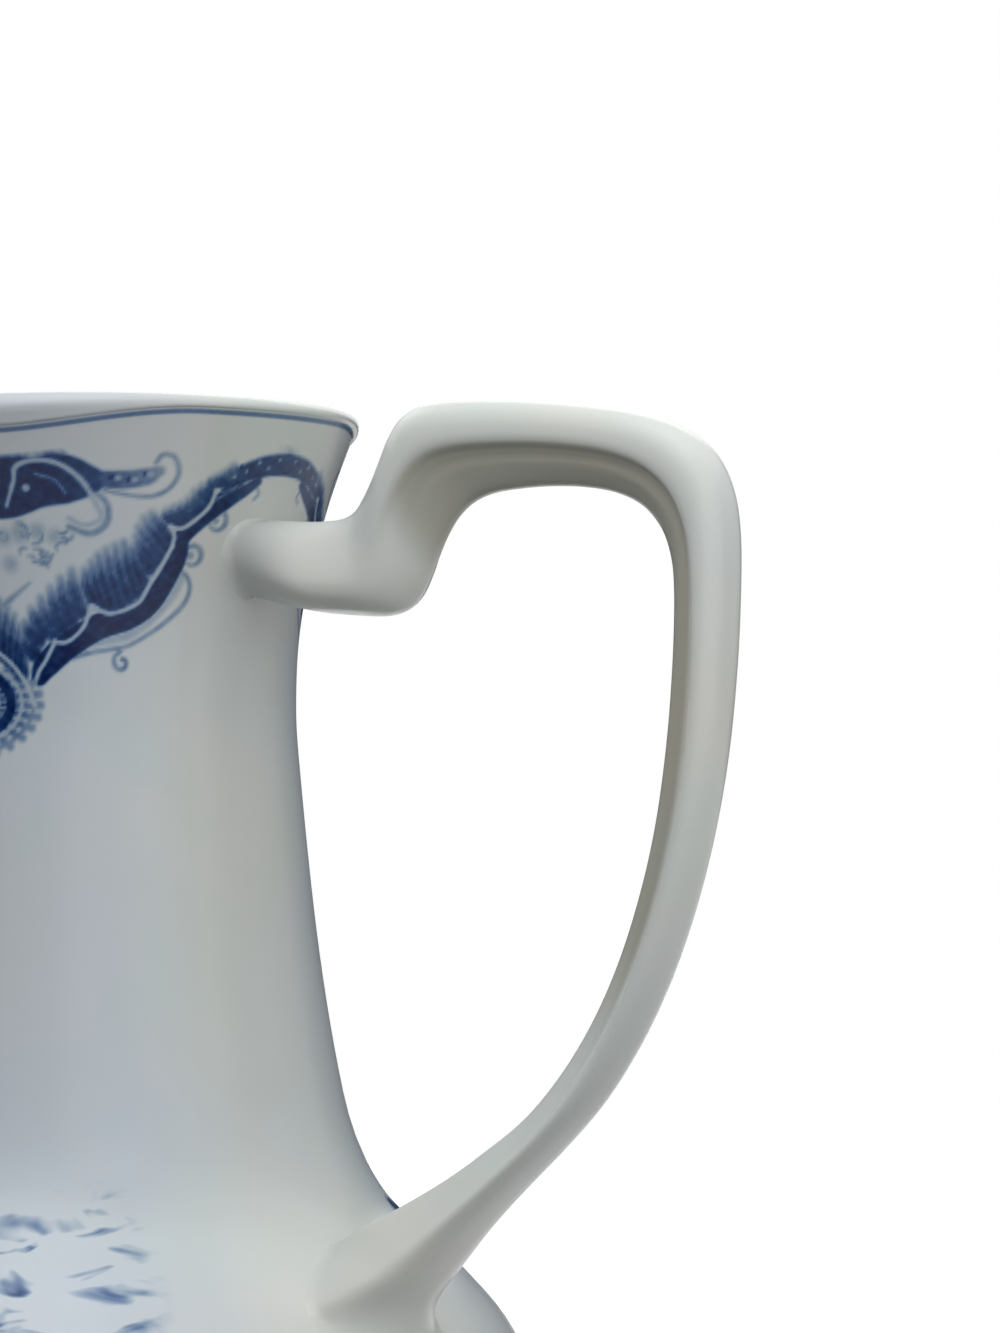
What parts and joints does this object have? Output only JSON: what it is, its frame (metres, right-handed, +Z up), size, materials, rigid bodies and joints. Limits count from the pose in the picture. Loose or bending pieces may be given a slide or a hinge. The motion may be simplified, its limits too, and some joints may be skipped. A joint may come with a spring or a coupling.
{
  "type": "pitcher vase",
  "caption": "Tall glazed ceramic ewer with a waisted neck, a pouring lip, a round belly on a foot ring and an angular handle.",
  "frame": {"origin": "middle of the bounding box, at the level of the foot ring's underside", "axes": "+Z up, along the height; +X from the vessel towards the handle"},
  "size_m": [0.2768, 0.2046, 0.287],
  "materials": {
    "body": "glossy off-white glaze over a blue print",
    "foot_ring": "glossy off-white glaze",
    "handle": "glossy off-white glaze"
  },
  "bodies": {
    "root": {"body": "body", "foot_ring": "foot_ring", "handle": "handle"}
  },
  "joints": []
}
